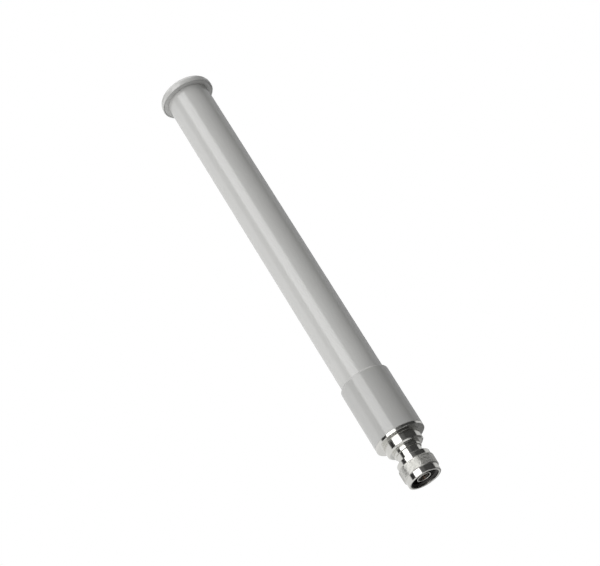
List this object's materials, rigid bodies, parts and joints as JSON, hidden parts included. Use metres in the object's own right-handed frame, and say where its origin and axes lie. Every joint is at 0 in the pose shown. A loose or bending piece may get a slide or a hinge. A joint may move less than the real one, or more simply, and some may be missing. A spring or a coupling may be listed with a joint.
{
  "type": "omnidirectional antenna",
  "caption": "Upright tubular omnidirectional radio antenna with a rounded top cap, a thicker base sleeve and a knurled screw-on coaxial plug that spins freely.",
  "frame": {"origin": "centre of the coupling nut's open front face, which is the antenna's lowest point", "axes": "+Z along the antenna's axis from the plug up to the cap; the board's front faces +Y"},
  "size_m": [0.0322, 0.0322, 0.2817],
  "materials": {
    "radome_grey": "satin extruded light warm grey",
    "sleeve_grey": "satin moulded light warm grey",
    "cap_grey": "satin moulded light warm grey",
    "nickel_plate": "bright nickel over turned brass",
    "nickel_contact": "bright nickel, thin turned ring",
    "spring_steel": "plain spring steel",
    "gold_plate": "gold plate, polished",
    "brass": "turned brass",
    "tinned_copper": "dull tin",
    "copper": "etched copper",
    "red_silicone": "matte red silicone",
    "black_rubber": "matte black rubber",
    "white_ptfe": "waxy white fluoropolymer",
    "natural_acetal": "turned natural acetal",
    "circuit_board": "green glass-fibre board",
    "foam": "closed-cell polyethylene foam"
  },
  "bodies": {
    "antenna": {"connector_shell": "nickel_plate", "outer_contact": "nickel_contact", "centre_pin": "gold_plate", "front_insulator": "white_ptfe", "rear_insulator": "white_ptfe", "interface_gasket": "red_silicone", "cable_ferrule": "brass", "ferrule_ring": "brass", "cable_outer": "tinned_copper", "cable_dielectric": "white_ptfe", "cable_core": "tinned_copper", "heat_shrink": "black_rubber", "choke_sleeve": "brass", "choke_spacer": "white_ptfe", "choke_support": "foam", "radome_tube": "radome_grey", "base_sleeve": "sleeve_grey", "base_bush": "natural_acetal", "shell_o_ring": "black_rubber", "bush_o_ring": "black_rubber", "lock_washer": "spring_steel", "shell_lock_nut": "nickel_plate", "radiator_board": "circuit_board", "front_copper": "copper", "back_copper": "copper", "core_solder": "tinned_copper", "braid_solder": "tinned_copper", "lower_spacer": "foam", "middle_spacer": "foam", "upper_spacer": "foam", "cap_collar": "cap_grey", "top_cap": "cap_grey", "cap_gasket": "black_rubber", "tip_cushion": "foam"},
    "retainer": {"snap_ring": "spring_steel"},
    "nut": {"coupling_nut": "nickel_plate"}
  },
  "joints": [
    {"name": "nut_float", "type": "slide", "parent": "antenna", "child": "retainer", "axis": [0, 0, 1], "range_m": [0, 0.0008]},
    {"name": "nut_spin", "type": "hinge", "parent": "retainer", "child": "nut", "pos_m": [0, 0, 0.0063], "axis": [0, 0, 1], "continuous": true}
  ]
}
